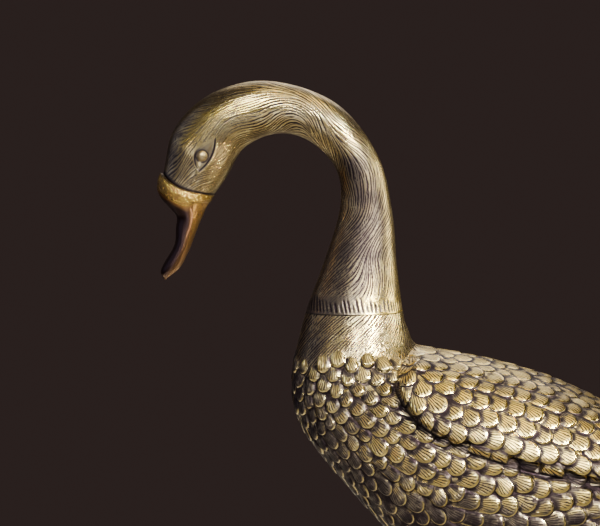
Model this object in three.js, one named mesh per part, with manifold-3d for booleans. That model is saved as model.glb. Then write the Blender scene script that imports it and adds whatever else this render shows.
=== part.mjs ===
// A goose cast in brass, standing on two webbed feet with its neck arched and its bill lowered.
// Millimetres, +Z up. The goose faces -X, and the floor under its soles is Z = 0.
import * as THREE from "three";
import { mergeVertices } from "three/addons/utils/BufferGeometryUtils.js";
import Module from "manifold-3d";

const wasm = await Module();
wasm.setup();

// Castings and their joints
const WALL = 3; // wall of the hollow castings
const SEAM_GAP = 0.3; // line of solder between two castings
const FIT_GAP = 0.3; // clearance round a spigot, pin, washer or nut

// Body, from the root of the tail to the collar at the foot of the neck
const LEG_HEIGHT = 41; // floor to the belly
const COLLAR_RISE = 154; // belly to the middle of the collar
const BODY_LENGTH = 250; // breast to the root of the tail
const BODY_DEPTH = 122;
const BODY_WIDTH = 108;
const TAIL_ROOT_DEPTH = 21.5;
const TAIL_ROOT_WIDTH = 38;
const COLLAR_DEPTH = 49.7;
const COLLAR_WIDTH = 45;
const COLLAR_LINE = 2.5; // seam of the neck and the body, above the middle of the collar

// Neck and head, from the collar to the seam of the bill
const NECK_RISE = 102.5; // collar to the crown of the arch
const NECK_REACH = 81.5; // collar to the seam of the bill
const NECK_DEPTH = 25.6; // front to back at its slender part
const NECK_WIDTH = 24;
const HEAD_DEPTH = 36;
const HEAD_WIDTH = 26.5;
const SLEEVE_LENGTH = 24; // ring that lines up the neck and the body inside the collar
const SLEEVE_WALL = 2;

// Bill
const BILL_LENGTH = 48.5;
const BILL_DEPTH = 27.5; // at its seam with the head
const BILL_WIDTH = 23;
const BILL_LEAN = 76; // degrees that the top of the bill leans forward from upright
const CUFF = 1.4; // how far the root of the bill stands proud of the head
const BILL_SAG = 2.8; // how far the seam of the bill dips at the sides of the head
const MOUTH_GAP = 0.4;
const MOUTH_HEIGHT = -0.45; // mouth line, from -1 at the chin to 1 at the ridge of the bill
const TONGUE_LENGTH = 8; // of the bill's and the tail's spigots

// Eyes
const EYE_RADIUS = 2.7;
const EYE_BULGE = 1.7;
const EYE_SEAT = 1.2; // depth of the flat seat cut into the head
const EYE_PIN_RADIUS = 1.2;
const EYE_PIN_LENGTH = 2.4;

// Wings
const WING_THICKNESS = 6.5;
const WING_SEAT_GAP = 0.5;
const RIVET_RADIUS = 2;
const RIVET_HEAD_RADIUS = 4;
const RIVET_HEAD_HEIGHT = 2;
const RIVET_GRIP = 2.6; // length of a rivet inside the wing

// Tail
const TAIL_LENGTH = 46;
const TAIL_WIDTH = 54;
const TAIL_EDGE = 4; // thickness towards the tips of its feathers
const TAIL_DROP = 14; // degrees below level

// Legs, webbed feet and the hardware that holds them
const LEG_SPACING = 50; // between the two legs
const LEG_SETBACK = 84; // legs behind the collar
const THIGH_RADIUS = 14;
const SHANK_RADIUS = 4.8;
const TOE_LENGTH = 58;
const HIND_TOE_LENGTH = 17;
const TOE_ROOT_RADIUS = 4.4;
const TOE_TIP_RADIUS = 2.4;
const TOE_SPREAD = 25; // degrees between neighbouring toes
const FOOT_TURN = 8; // degrees that each foot turns out
const WEB_THICKNESS = 2.6;
const STUD_RADIUS = 3;
const STUD_DEPTH = 28; // length of a stud below the skin of the belly
const BOSS_RADIUS = 9;
const BOSS_LIP = 3; // height of a boss above the inside of the wall at its outer edge
const WASHER_RADIUS = 7;
const WASHER_THICKNESS = 1.5;
const NUT_FLATS = 10;
const NUT_HEIGHT = 5;
const STUD_END = 2; // length of a stud above its nut

// Fineness of the faceted surfaces
const BODY_ROWS = 24;
const NECK_ROWS = 30;
const BODY_FACETS = 12; // round half of a section
const NECK_FACETS = 10;
const BILL_FACETS = 10;
const ROUND_FACETS = 12;

const LEFT = -1; // the goose's left side is -Y
const RIGHT = 1;
const SIDES = { left: LEFT, right: RIGHT };

const brass = new THREE.MeshStandardMaterial({ color: 0xa5834a, roughness: 0.34, metalness: 1 });
const billBrass = new THREE.MeshStandardMaterial({ color: 0xa8702c, roughness: 0.26, metalness: 1 });
const eyeBrass = new THREE.MeshStandardMaterial({ color: 0xb89a60, roughness: 0.2, metalness: 1 });
const sleeveBrass = new THREE.MeshStandardMaterial({ color: 0xb08d4c, roughness: 0.5, metalness: 1 });
const steel = new THREE.MeshStandardMaterial({ color: 0x8d9093, roughness: 0.4, metalness: 1 });

// Sections through the goose
// A station is one section: its middle, how far its top leans towards the tail from upright, and its size.
function station(x, z, leanDegrees, depth, width) {
  const lean = THREE.MathUtils.degToRad(leanDegrees);
  const half = new THREE.Vector3(Math.sin(lean), 0, Math.cos(lean)).multiplyScalar(depth / 2);
  const middle = new THREE.Vector3(x, 0, z);
  return { middle, top: middle.clone().add(half), bottom: middle.clone().sub(half), width };
}

// A smooth skin through stations. u counts stations, and an angle of 0 is the top of a section.
class Loft {
  constructor(stations) {
    this.stations = stations;
    this.knots = [0];
    for (let i = 1; i < stations.length; i++) {
      this.knots.push(this.knots[i - 1] + stations[i].middle.distanceTo(stations[i - 1].middle));
    }
  }

  slope(read, i) {
    const before = Math.max(i - 1, 0);
    const after = Math.min(i + 1, this.stations.length - 1);
    const rise = read(this.stations[after]) - read(this.stations[before]);
    return rise / (this.knots[after] - this.knots[before]);
  }

  // One number of the stations at u, on a cubic curve through all of them.
  value(read, u) {
    const i = Math.min(Math.max(Math.floor(u), 0), this.stations.length - 2);
    const f = u - i;
    const span = this.knots[i + 1] - this.knots[i];
    const ease = f * f * (3 - 2 * f);
    const leave = f * (1 - f) * (1 - f) * span * this.slope(read, i);
    const arrive = f * f * (f - 1) * span * this.slope(read, i + 1);
    return read(this.stations[i]) * (1 - ease) + read(this.stations[i + 1]) * ease + leave + arrive;
  }

  section(u) {
    const x = (end) => this.value((s) => s[end].x, u);
    const z = (end) => this.value((s) => s[end].z, u);
    const top = new THREE.Vector3(x("top"), 0, z("top"));
    const bottom = new THREE.Vector3(x("bottom"), 0, z("bottom"));
    return {
      middle: top.clone().add(bottom).multiplyScalar(0.5),
      up: top.clone().sub(bottom).normalize(),
      halfDepth: top.distanceTo(bottom) / 2,
      halfWidth: this.value((s) => s.width, u) / 2,
    };
  }

  // A point of the skin, moved out by grow. Positive angles are the goose's right.
  point(u, angle, grow = 0) {
    const { middle, up, halfDepth, halfWidth } = this.section(u);
    const spot = middle.clone().addScaledVector(up, (halfDepth + grow) * Math.cos(angle));
    spot.y = (halfWidth + grow) * Math.sin(angle);
    return spot;
  }

  // The direction square to the skin, outwards.
  outward(u, angle) {
    const step = 0.01;
    const lengthways = this.point(u + step, angle).sub(this.point(u - step, angle));
    const round = this.point(u, angle + step).sub(this.point(u, angle - step));
    return round.cross(lengthways).normalize();
  }

  // u moved along the goose by a distance.
  along(u, distance) {
    const i = Math.min(Math.floor(u), this.stations.length - 2);
    const forward = this.knots[i + 1] - this.knots[i];
    const backward = u === i && i > 0 ? this.knots[i] - this.knots[i - 1] : forward;
    return u + distance / (distance > 0 ? forward : backward);
  }
}

const collarHeight = LEG_HEIGHT + COLLAR_RISE;

// Body sections: shares of the body's length, of the collar's rise, of its depth and of its width.
function bodyStation(along, rise, lean, depth, width) {
  const height = LEG_HEIGHT + rise * COLLAR_RISE;
  return station(along * BODY_LENGTH, height, lean, depth * BODY_DEPTH, width * BODY_WIDTH);
}

const tailRoot = { along: 0.874, rise: 0.245, lean: 0 };
const bodyStations = [
  station(
    tailRoot.along * BODY_LENGTH,
    LEG_HEIGHT + tailRoot.rise * COLLAR_RISE,
    tailRoot.lean,
    TAIL_ROOT_DEPTH,
    TAIL_ROOT_WIDTH,
  ),
  bodyStation(0.726, 0.282, 4, 0.5, 0.68), // rump
  bodyStation(0.559, 0.334, 4, 0.82, 0.93), // hips
  bodyStation(0.399, 0.3945, 4, 1, 1), // middle
  bodyStation(0.249, 0.479, 6, 0.968, 0.97), // shoulders
  bodyStation(0.133, 0.581, 14, 0.8, 0.87), // front of the wings
  bodyStation(0.055, 0.688, 31.5, 0.635, 0.75), // lower breast
  bodyStation(0.009, 0.774, 50, 0.58, 0.63), // middle of the breast
  bodyStation(-0.008, 0.862, 64, 0.535, 0.52), // upper breast
];

// Neck sections: shares of the neck's reach and rise, with their own depth and width.
function neckStation(reach, rise, lean, depth, width) {
  return station(-reach * NECK_REACH, collarHeight + rise * NECK_RISE, lean, depth, width);
}

const neckStations = [
  neckStation(0, 0, 88, COLLAR_DEPTH, COLLAR_WIDTH), // collar
  neckStation(-0.036, 0.244, 90, 1.45 * NECK_DEPTH, 1.38 * NECK_WIDTH), // foot of the neck
  neckStation(-0.075, 0.52, 95.5, 1.02 * NECK_DEPTH, NECK_WIDTH), // slender part
  neckStation(-0.015, 0.7575, 72, 0.855 * NECK_DEPTH, 0.94 * NECK_WIDTH), // back of the arch
  neckStation(0.2, 0.951, 36.5, 0.9 * NECK_DEPTH, 0.95 * NECK_WIDTH), // shoulder of the arch
  neckStation(0.503, 1.0185, -6.5, 0.736 * HEAD_DEPTH, 0.91 * HEAD_WIDTH), // crown of the arch
  neckStation(0.7725, 0.953, -30.5, 0.878 * HEAD_DEPTH, 0.99 * HEAD_WIDTH), // back of the head
  neckStation(0.939, 0.798, -48, 0.978 * HEAD_DEPTH, HEAD_WIDTH), // eyes
  neckStation(1.011, 0.647, -67, BILL_DEPTH, 0.83 * HEAD_WIDTH), // seam of the bill
];

const goose = new Loft([...bodyStations, ...neckStations]);
const TAIL_ROOT = 0;
const COLLAR = bodyStations.length;
const BILL_SEAM = goose.stations.length - 1;
const EYES = BILL_SEAM - 1;
const EYE_ANGLE = THREE.MathUtils.degToRad(95.5);

// The seam of the bill dips at the sides of the head.
function seamDip(angle) {
  return BILL_SAG * Math.sin(angle) ** 2;
}

function seamAt(angle) {
  return goose.along(BILL_SEAM, seamDip(angle));
}

// Meshes and solids
function geometryOf(points, triangles) {
  const geometry = new THREE.BufferGeometry().setFromPoints(points);
  geometry.setIndex(triangles);
  let volume = 0;
  for (let i = 0; i < triangles.length; i += 3) {
    const [a, b, c] = [0, 1, 2].map((k) => points[triangles[i + k]]);
    volume += a.dot(b.clone().cross(c));
  }
  if (volume < 0) geometry.setIndex(triangles.reverse());
  return geometry;
}

function quad(triangles, a, b, c, d) {
  triangles.push(a, b, c, a, c, d);
}

// A closed plate between two grids of points, which are the same size.
function plate(rows, columns, outerPoint, innerPoint) {
  const points = [];
  const triangles = [];
  const width = columns + 1;
  const skin = (rows + 1) * width;
  for (const at of [outerPoint, innerPoint]) {
    for (let i = 0; i <= rows; i++) {
      for (let j = 0; j <= columns; j++) points.push(at(i / rows, j / columns));
    }
  }
  for (let i = 0; i < rows; i++) {
    for (let j = 0; j < columns; j++) {
      const a = i * width + j;
      const b = a + width;
      quad(triangles, a, a + 1, b + 1, b);
      quad(triangles, skin + a, skin + b, skin + b + 1, skin + a + 1);
    }
    const [first, last] = [i * width, i * width + columns];
    quad(triangles, first, first + width, skin + first + width, skin + first);
    quad(triangles, last + width, last, skin + last, skin + last + width);
  }
  for (let j = 0; j < columns; j++) {
    const last = rows * width + j;
    quad(triangles, j + 1, j, skin + j, skin + j + 1);
    quad(triangles, last, last + 1, skin + last + 1, skin + last);
  }
  return geometryOf(points, triangles);
}

// A closed solid through rings of points, with flat ends.
function ringsSolid(rings) {
  const count = rings[0].length;
  const points = rings.flat();
  const triangles = [];
  for (let i = 0; i < rings.length - 1; i++) {
    for (let j = 0; j < count; j++) {
      const next = (j + 1) % count;
      quad(triangles, i * count + j, i * count + next, (i + 1) * count + next, (i + 1) * count + j);
    }
  }
  for (const [end, flip] of [[0, true], [rings.length - 1, false]]) {
    const centre = points.length;
    points.push(rings[end].reduce((sum, p) => sum.add(p), new THREE.Vector3()).divideScalar(count));
    for (let j = 0; j < count; j++) {
      const [a, b] = [end * count + j, end * count + ((j + 1) % count)];
      triangles.push(...(flip ? [b, a, centre] : [a, b, centre]));
    }
  }
  return geometryOf(points, triangles);
}

function ring(count, at) {
  return Array.from({ length: count }, (_, j) => at((2 * Math.PI * j) / count));
}

function solidOf(geometry) {
  const bare = geometry.clone();
  bare.deleteAttribute("normal");
  bare.deleteAttribute("uv");
  const merged = mergeVertices(bare, 1e-4);
  const triangles = [];
  for (let i = 0; i < merged.index.count; i += 3) {
    const corner = [0, 1, 2].map((k) => merged.index.getX(i + k));
    if (new Set(corner).size === 3) triangles.push(...corner);
  }
  const vertProperties = merged.attributes.position.array;
  return new wasm.Manifold(new wasm.Mesh({ numProp: 3, vertProperties, triVerts: new Uint32Array(triangles) }));
}

function geometryFrom(solid) {
  const { vertProperties, triVerts } = solid.getMesh();
  const geometry = new THREE.BufferGeometry();
  geometry.setAttribute("position", new THREE.BufferAttribute(new Float32Array(vertProperties), 3));
  geometry.setIndex(new THREE.BufferAttribute(new Uint32Array(triVerts), 1));
  geometry.computeVertexNormals();
  return geometry;
}

// A round bar from one point to another, which may taper.
function bar(from, to, fromRadius, toRadius = fromRadius, facets = ROUND_FACETS) {
  const line = to.clone().sub(from);
  const geometry = new THREE.CylinderGeometry(toRadius, fromRadius, line.length(), facets);
  const turn = new THREE.Quaternion().setFromUnitVectors(new THREE.Vector3(0, 1, 0), line.normalize());
  geometry.applyQuaternion(turn);
  const middle = from.clone().add(to).multiplyScalar(0.5);
  return geometry.translate(middle.x, middle.y, middle.z);
}

// A turned piece about +Y, moved to a point with its axis along a direction.
function turned(profile, at, direction) {
  const geometry = new THREE.LatheGeometry(profile.map(([r, y]) => new THREE.Vector2(r, y)), ROUND_FACETS);
  const turn = new THREE.Quaternion().setFromUnitVectors(new THREE.Vector3(0, 1, 0), direction);
  return geometry.applyQuaternion(turn).translate(at.x, at.y, at.z);
}

function beyond(point, direction, distance) {
  return point.clone().addScaledVector(direction, distance);
}

// Hollow halves of the body and of the neck, which meet on the middle plane
function halfShell(from, endAt, rows, facets, side) {
  const at = (grow) => (i, j) => {
    const angle = Math.PI * j;
    const spot = goose.point(THREE.MathUtils.lerp(from, endAt(angle), i), angle, grow);
    spot.y = side * Math.max(spot.y, SEAM_GAP / 2);
    return spot;
  };
  return plate(rows, facets, at(0), at(-WALL));
}

function wholeBody(grow) {
  const rings = [];
  for (let i = 0; i <= BODY_ROWS; i++) {
    const u = THREE.MathUtils.lerp(TAIL_ROOT, COLLAR, i / BODY_ROWS);
    rings.push(ring(2 * BODY_FACETS, (angle) => goose.point(u, angle, grow)));
  }
  return solidOf(ringsSolid(rings));
}

const underside = wholeBody(FIT_GAP);
const inside = wholeBody(-WALL / 2);

// Legs stand on a line across the body
function legPoint(side, z) {
  return new THREE.Vector3(LEG_SETBACK, (side * LEG_SPACING) / 2, z);
}

// Height of the belly's skin over a place on the floor.
function bellyHeight(x, y) {
  let [behind, ahead] = [TAIL_ROOT, COLLAR];
  for (let i = 0; i < 30; i++) {
    const u = (behind + ahead) / 2;
    if (goose.section(u).middle.x > x) behind = u;
    else ahead = u;
  }
  const share = Math.min(y / goose.section(behind).halfWidth, 0.95);
  return goose.point(behind, Math.PI - Math.asin(share)).z;
}

const bossTop = bellyHeight(LEG_SETBACK, LEG_SPACING / 2 + BOSS_RADIUS) + WALL + BOSS_LIP;
const studBottom = bellyHeight(LEG_SETBACK, LEG_SPACING / 2) - STUD_DEPTH;
const thighTop = bellyHeight(LEG_SETBACK, LEG_SPACING / 2 + THIGH_RADIUS) + THIGH_RADIUS;
const washerBottom = bossTop + FIT_GAP;
const nutBottom = washerBottom + WASHER_THICKNESS + FIT_GAP;
const studTop = nutBottom + NUT_HEIGHT + STUD_END;

function studHole(side) {
  const clear = STUD_RADIUS + FIT_GAP;
  return solidOf(bar(legPoint(side, studBottom - FIT_GAP), legPoint(side, studTop), clear));
}

// Wings follow the skin of the body. along runs from the shoulder to the tip, across from top to bottom.
const WING_FRONT = COLLAR - 2.3;
const WING_TIP = TAIL_ROOT + 0.3;
const RIVETS = { front: { along: 0.3, across: 0.66 }, rear: { along: 0.62, across: 0.6 } };

function smooth(from, to, value) {
  return THREE.MathUtils.smoothstep(value, from, to);
}

// The front edge sweeps down round the shoulder, and both long edges draw in to the tip.
function wingSpot(along, across) {
  const u = THREE.MathUtils.lerp(WING_FRONT, WING_TIP, along);
  const sweep = 1 - 0.39 * Math.max(1 - along / 0.3, 0) ** 2.8;
  const top = 21 + 26 * smooth(0.6, 1, along);
  const bottom = 21 + 51.5 * sweep - 3 * smooth(0.35, 0.65, along) - 12 * smooth(0.75, 1, along);
  return { u, angle: THREE.MathUtils.degToRad(THREE.MathUtils.lerp(top, bottom, across)) };
}

function wingThickness(along, across) {
  const ends = 0.45 + 0.55 * smooth(0, 0.12, along) - 0.35 * smooth(0.6, 1, along);
  const edges = 0.25 + 0.75 * smooth(0, 0.6, across) - 0.3 * smooth(0.88, 1, across);
  return WING_THICKNESS * ends * edges;
}

function wingPoint(side, along, across, grow) {
  const { u, angle } = wingSpot(along, across);
  return goose.point(u, side * angle, grow);
}

function rivetLine(side, { along, across }) {
  const { u, angle } = wingSpot(along, across);
  const skin = goose.point(u, side * angle);
  const out = goose.outward(u, side * angle);
  return { inner: beyond(skin, out, -WALL), outer: beyond(skin, out, WING_SEAT_GAP), out };
}

function rivetHole(side, place) {
  const { inner, outer, out } = rivetLine(side, place);
  const end = beyond(outer, out, RIVET_GRIP + FIT_GAP);
  return solidOf(bar(beyond(inner, out, -WALL), end, RIVET_RADIUS + FIT_GAP));
}

// A flat milled inside the body for the head of a rivet.
function rivetFlat(side, place) {
  const { inner, out } = rivetLine(side, place);
  return solidOf(bar(beyond(inner, out, -WALL), inner, RIVET_HEAD_RADIUS + FIT_GAP));
}

const WING_ROWS = 20;
const WING_COLUMNS = 10;

function wing(side) {
  const back = (along, across) => wingPoint(side, along, across, WING_SEAT_GAP);
  const face = (along, across) => {
    return wingPoint(side, along, across, WING_SEAT_GAP + wingThickness(along, across));
  };
  let solid = solidOf(plate(WING_ROWS, WING_COLUMNS, face, back));
  for (const place of Object.values(RIVETS)) solid = solid.subtract(rivetHole(side, place));
  return geometryFrom(solid);
}

function rivet(side, place) {
  const { inner, outer, out } = rivetLine(side, place);
  const shank = FIT_GAP + inner.distanceTo(outer) + RIVET_GRIP;
  const profile = [
    [0, -RIVET_HEAD_HEIGHT],
    [0.6 * RIVET_HEAD_RADIUS, -0.8 * RIVET_HEAD_HEIGHT],
    [RIVET_HEAD_RADIUS, 0],
    [RIVET_RADIUS, 0],
    [RIVET_RADIUS, shank],
    [0, shank],
  ];
  return turned(profile, beyond(inner, out, -FIT_GAP), out);
}

function bodyHalf(side) {
  const collarEnd = goose.along(COLLAR, COLLAR_LINE - SEAM_GAP / 2);
  let half = solidOf(halfShell(TAIL_ROOT, () => collarEnd, BODY_ROWS, BODY_FACETS, side));
  const boss = solidOf(bar(legPoint(side, studBottom), legPoint(side, bossTop), BOSS_RADIUS));
  half = half.add(boss.intersect(inside)).subtract(studHole(side));
  for (const place of Object.values(RIVETS)) {
    half = half.subtract(rivetHole(side, place)).subtract(rivetFlat(side, place));
  }
  return geometryFrom(half);
}

// Eyes are domed pins in flat seats
function eyeSpot(side) {
  const out = new THREE.Vector3(0, side, 0);
  const skin = goose.point(EYES, side * EYE_ANGLE);
  return { seat: beyond(skin, out, -EYE_SEAT), out };
}

function eyeSocket(side) {
  const { seat, out } = eyeSpot(side);
  const mouth = beyond(seat, out, EYE_SEAT + WALL);
  const recess = solidOf(bar(seat, mouth, EYE_RADIUS + FIT_GAP));
  const pinHole = solidOf(bar(beyond(seat, out, -2 * WALL), mouth, EYE_PIN_RADIUS + FIT_GAP));
  return recess.add(pinHole);
}

function eye(side) {
  const { seat, out } = eyeSpot(side);
  const rim = EYE_SEAT - FIT_GAP;
  const profile = [[0, -EYE_PIN_LENGTH], [EYE_PIN_RADIUS, -EYE_PIN_LENGTH], [EYE_PIN_RADIUS, 0], [EYE_RADIUS, 0]];
  const domeSteps = 4;
  for (let i = 0; i <= domeSteps; i++) {
    const turn = (Math.PI / 2) * (i / domeSteps);
    profile.push([EYE_RADIUS * Math.cos(turn), rim + EYE_BULGE * Math.sin(turn)]);
  }
  profile[profile.length - 1][0] = 0;
  return turned(profile, beyond(seat, out, FIT_GAP), out);
}

function neckHalf(side) {
  const shell = halfShell(goose.along(COLLAR, COLLAR_LINE + SEAM_GAP / 2), seamAt, NECK_ROWS, NECK_FACETS, side);
  return geometryFrom(solidOf(shell).subtract(eyeSocket(side)));
}

// The sleeve inside the collar
function sleeve() {
  const grow = -WALL - FIT_GAP;
  const ends = [-SLEEVE_LENGTH / 2, 0, SLEEVE_LENGTH / 2].map((d) => goose.along(COLLAR, COLLAR_LINE + d));
  const round = (u, thin) => ring(2 * NECK_FACETS, (angle) => goose.point(u, angle, grow - thin));
  const outer = solidOf(ringsSolid(ends.map((u) => round(u, 0))));
  const bore = ends.map((u) => round(u, SLEEVE_WALL));
  const axis = goose.section(ends[2]).middle.sub(goose.section(ends[0]).middle).normalize();
  bore[0].forEach((p) => p.addScaledVector(axis, -SLEEVE_WALL));
  bore[2].forEach((p) => p.addScaledVector(axis, SLEEVE_WALL));
  return geometryFrom(outer.subtract(solidOf(ringsSolid(bore))));
}

// Bill, in two mandibles that share a spigot in the head
function billStation(along, top, bottom, width) {
  const lean = THREE.MathUtils.degToRad(-BILL_LEAN);
  const up = new THREE.Vector3(Math.sin(lean), 0, Math.cos(lean));
  const forward = new THREE.Vector3(-Math.cos(lean), 0, Math.sin(lean));
  const middle = beyond(goose.stations[BILL_SEAM].middle, forward, along * BILL_LENGTH);
  middle.addScaledVector(up, ((top + bottom) / 2) * BILL_DEPTH);
  return station(middle.x, middle.z, -BILL_LEAN, (top - bottom) * BILL_DEPTH, width * BILL_WIDTH);
}

const seam = goose.section(BILL_SEAM);
const seamForward = new THREE.Vector3(-seam.up.z, 0, seam.up.x);

// The root of the bill is proud of the head above and at the sides, and flush with it at the chin.
function cuffStation() {
  const at = beyond(beyond(seam.middle, seamForward, SEAM_GAP), seam.up, CUFF / 2);
  const lean = THREE.MathUtils.radToDeg(Math.atan2(seam.up.x, seam.up.z));
  return station(at.x, at.z, lean, 2 * seam.halfDepth + CUFF, 2 * (seam.halfWidth + CUFF));
}

// Shares of the bill's length, of its depth above and below its axis, and of its width.
const bill = new Loft([
  cuffStation(),
  billStation(0.113, 0.542, -0.447, 1.05),
  billStation(0.206, 0.436, -0.407, 0.98),
  billStation(0.285, 0.233, -0.385, 0.88),
  billStation(0.35, 0.08, -0.364, 0.82),
  billStation(0.474, 0.036, -0.335, 0.78),
  billStation(0.64, -0.011, -0.298, 0.8),
  billStation(0.86, 0.095, -0.207, 0.74),
  billStation(0.957, 0.113, -0.087, 0.5),
  billStation(1, 0.036, -0.022, 0.22),
]);
const BILL_ROWS = 20;

// Angles of a mandible's section, on one side of the mouth line.
function mandibleAngles(upper, halfDepth, gap) {
  const line = upper ? MOUTH_HEIGHT : MOUTH_HEIGHT - gap / halfDepth;
  const corner = Math.acos(Math.max(line, -0.8));
  const [start, end] = upper ? [-corner, corner] : [corner, 2 * Math.PI - corner];
  return Array.from({ length: BILL_FACETS + 1 }, (_, j) => start + ((end - start) * j) / BILL_FACETS);
}

function mandible(upper) {
  const spread = (section, grow, gap) => mandibleAngles(upper, section.halfDepth + grow, gap);
  const shrink = -WALL - FIT_GAP;
  const split = MOUTH_GAP + CUFF;
  const back = goose.along(BILL_SEAM, -TONGUE_LENGTH);
  const tongue = spread(goose.section(back), shrink, split).map((angle) => goose.point(back, angle, shrink));
  const collar = spread(seam, shrink, split).map((angle) => {
    return beyond(goose.point(seamAt(angle), angle, shrink), seamForward, SEAM_GAP);
  });
  const rings = [tongue, collar];
  const tip = bill.stations.length - 1;
  for (let i = 0; i <= BILL_ROWS; i++) {
    const angles = spread(bill.section((tip * i) / BILL_ROWS), 0, MOUTH_GAP);
    const start = (angle) => bill.along(0, seamDip(angle));
    rings.push(angles.map((angle) => bill.point(THREE.MathUtils.lerp(start(angle), tip, i / BILL_ROWS), angle)));
  }
  return ringsSolid(rings);
}

// Tail, a flat fan with a spigot in the open end of the body
function tailStation(along, depth, width) {
  const drop = THREE.MathUtils.degToRad(TAIL_DROP);
  const from = goose.stations[TAIL_ROOT].middle;
  const reach = SEAM_GAP + along * TAIL_LENGTH;
  const x = from.x + reach * Math.cos(drop);
  const z = from.z - reach * Math.sin(drop);
  return station(x, z, along > 0 ? TAIL_DROP : tailRoot.lean, depth, width);
}

const tail = new Loft([
  tailStation(0, TAIL_ROOT_DEPTH, TAIL_ROOT_WIDTH),
  tailStation(0.3, 0.5 * TAIL_ROOT_DEPTH + 0.5 * TAIL_EDGE, 0.5 * TAIL_ROOT_WIDTH + 0.5 * TAIL_WIDTH),
  tailStation(0.66, 1.6 * TAIL_EDGE, TAIL_WIDTH),
  tailStation(0.9, TAIL_EDGE, 0.86 * TAIL_WIDTH),
  tailStation(1, 0.6 * TAIL_EDGE, 0.5 * TAIL_WIDTH),
]);
const TAIL_ROWS = 10;

function tailFan() {
  const around = (loft, u, grow) => ring(2 * BODY_FACETS, (angle) => loft.point(u, angle, grow));
  const shrink = -WALL - FIT_GAP;
  const rings = [around(goose, goose.along(TAIL_ROOT, TONGUE_LENGTH), shrink), around(tail, 0, shrink)];
  for (let i = 0; i <= TAIL_ROWS; i++) {
    rings.push(around(tail, ((tail.stations.length - 1) * i) / TAIL_ROWS, 0));
  }
  return ringsSolid(rings);
}

// Legs
function toeTip(side, turnDegrees, length) {
  const turn = THREE.MathUtils.degToRad(side * FOOT_TURN + turnDegrees);
  const tip = legPoint(side, TOE_TIP_RADIUS * 0.7);
  return tip.add(new THREE.Vector3(-length * Math.cos(turn), length * Math.sin(turn), 0));
}

function leg(side) {
  const ankle = legPoint(side, 0.8 * TOE_ROOT_RADIUS);
  const toes = [-TOE_SPREAD, 0, TOE_SPREAD].map((turn) => {
    return toeTip(side, turn, turn === 0 ? TOE_LENGTH : 0.9 * TOE_LENGTH);
  });
  const hind = toeTip(side, 180, HIND_TOE_LENGTH);
  let solid = upright(side);
  for (const tip of [...toes, hind]) {
    const ball = new THREE.SphereGeometry(TOE_TIP_RADIUS, ROUND_FACETS, ROUND_FACETS / 2);
    solid = solid.add(solidOf(bar(ankle, tip, TOE_ROOT_RADIUS, TOE_TIP_RADIUS)));
    solid = solid.add(solidOf(ball.translate(tip.x, tip.y, tip.z)));
  }
  solid = solid.add(web(side, toes));
  const floor = new THREE.BoxGeometry(4 * TOE_LENGTH, 4 * TOE_LENGTH, TOE_LENGTH);
  solid = solid.subtract(solidOf(floor.translate(LEG_SETBACK, 0, -TOE_LENGTH / 2)));
  return geometryFrom(solid.subtract(underside).subtract(studHole(side)));
}

// The thigh and shank, turned about a vertical line.
function upright(side) {
  const profile = [
    [0, 0],
    [1.2 * SHANK_RADIUS, 0],
    [1.3 * SHANK_RADIUS, TOE_ROOT_RADIUS],
    [SHANK_RADIUS, 2 * TOE_ROOT_RADIUS],
    [SHANK_RADIUS, 0.5 * LEG_HEIGHT],
    [1.5 * SHANK_RADIUS, 0.62 * LEG_HEIGHT],
    [0.8 * THIGH_RADIUS, 0.8 * LEG_HEIGHT],
    [THIGH_RADIUS, LEG_HEIGHT],
    [THIGH_RADIUS, thighTop],
    [0, thighTop],
  ];
  return solidOf(turned(profile, legPoint(side, 0), new THREE.Vector3(0, 0, 1)));
}

// The web between the front toes, with hollowed edges.
function web(side, tips) {
  const outline = new THREE.Shape();
  const heel = legPoint(side, 0);
  outline.moveTo(heel.x + SHANK_RADIUS, heel.y);
  outline.lineTo(tips[0].x, tips[0].y);
  for (let i = 1; i < tips.length; i++) {
    const between = tips[i].clone().add(tips[i - 1]).multiplyScalar(0.5).lerp(heel, 0.16);
    outline.quadraticCurveTo(between.x, between.y, tips[i].x, tips[i].y);
  }
  outline.closePath();
  return solidOf(new THREE.ExtrudeGeometry(outline, { depth: WEB_THICKNESS, bevelEnabled: false, curveSegments: 6 }));
}

function washer(side) {
  const [low, high] = [washerBottom, washerBottom + WASHER_THICKNESS];
  const disc = solidOf(bar(legPoint(side, low), legPoint(side, high), WASHER_RADIUS));
  return geometryFrom(disc.subtract(studHole(side)));
}

function nut(side) {
  const corner = NUT_FLATS / Math.sqrt(3);
  const hexagon = bar(legPoint(side, nutBottom), legPoint(side, nutBottom + NUT_HEIGHT), corner, corner, 6);
  return geometryFrom(solidOf(hexagon).subtract(studHole(side)));
}

// Assembly
const figure = new THREE.Group();

function place(name, geometry, material) {
  const mesh = new THREE.Mesh(geometry, material);
  mesh.name = name;
  figure.add(mesh);
}

place("neck_sleeve", sleeve(), sleeveBrass);
place("upper_bill", mandible(true), billBrass);
place("lower_bill", mandible(false), billBrass);
place("tail_fan", tailFan(), brass);
for (const [name, side] of Object.entries(SIDES)) {
  place(`body_${name}_half`, bodyHalf(side), brass);
  place(`neck_${name}_half`, neckHalf(side), brass);
  place(`wing_${name}`, wing(side), brass);
  place(`eye_${name}`, eye(side), eyeBrass);
  place(`leg_${name}`, leg(side), brass);
  place(`leg_stud_${name}`, bar(legPoint(side, studBottom), legPoint(side, studTop), STUD_RADIUS), steel);
  place(`leg_washer_${name}`, washer(side), steel);
  place(`leg_nut_${name}`, nut(side), steel);
  for (const [end, spot] of Object.entries(RIVETS)) {
    place(`wing_rivet_${name}_${end}`, rivet(side, spot), sleeveBrass);
  }
}

// The goose stands over the origin, midway between the bill and the tips of the tail.
const room = new THREE.Box3().setFromObject(figure);
figure.position.x = -(room.min.x + room.max.x) / 2;

export default figure;
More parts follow.
